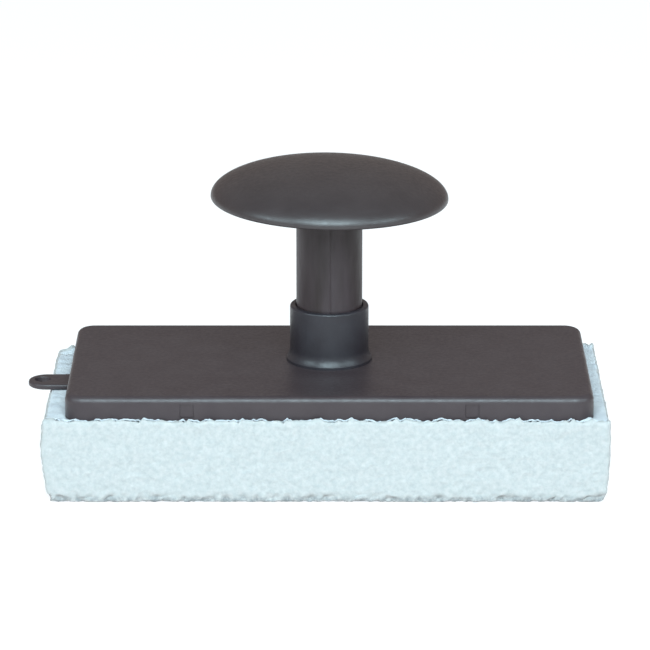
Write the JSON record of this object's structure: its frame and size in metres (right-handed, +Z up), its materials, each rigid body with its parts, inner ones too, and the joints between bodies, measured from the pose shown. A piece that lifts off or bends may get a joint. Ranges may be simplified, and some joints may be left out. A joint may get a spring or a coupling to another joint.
{
  "type": "grout float",
  "caption": "Rectangular sponge pad under a moulded plate with a round knob handle on a stem, for washing and smoothing tile grout; the pad peels off.",
  "frame": {"origin": "centre of the sponge pad's working face, on the floor", "axes": "+X along the pad's length, away from the hanging eyelet; +Y across the pad, away from the user; +Z up through the knob"},
  "size_m": [0.2603, 0.118, 0.139],
  "materials": {
    "sponge": "matte",
    "loop_backing": "matte",
    "hook_tape": "matte",
    "panel_plastic": "matte",
    "plate_plastic": "satin",
    "handle_plastic": "satin",
    "zinc_steel": "satin"
  },
  "bodies": {
    "pad": {"sponge_pad": "sponge", "pad_backing": "loop_backing"},
    "holder": {"hook_sheet": "hook_tape", "base_panel": "panel_plastic", "backing_plate": "plate_plastic", "socket_collar": "handle_plastic", "stem": "handle_plastic", "knob_underside": "handle_plastic", "knob_dome": "handle_plastic", "stem_bolt": "zinc_steel", "bolt_washer": "zinc_steel", "knob_nut": "zinc_steel", "collar_screw_1": "zinc_steel", "collar_screw_2": "zinc_steel", "collar_screw_3": "zinc_steel", "collar_screw_4": "zinc_steel"}
  },
  "joints": [
    {"name": "pad_release", "type": "slide", "parent": "pad", "child": "holder", "axis": [0, 0, 1], "range_m": [0, 0.06]}
  ]
}
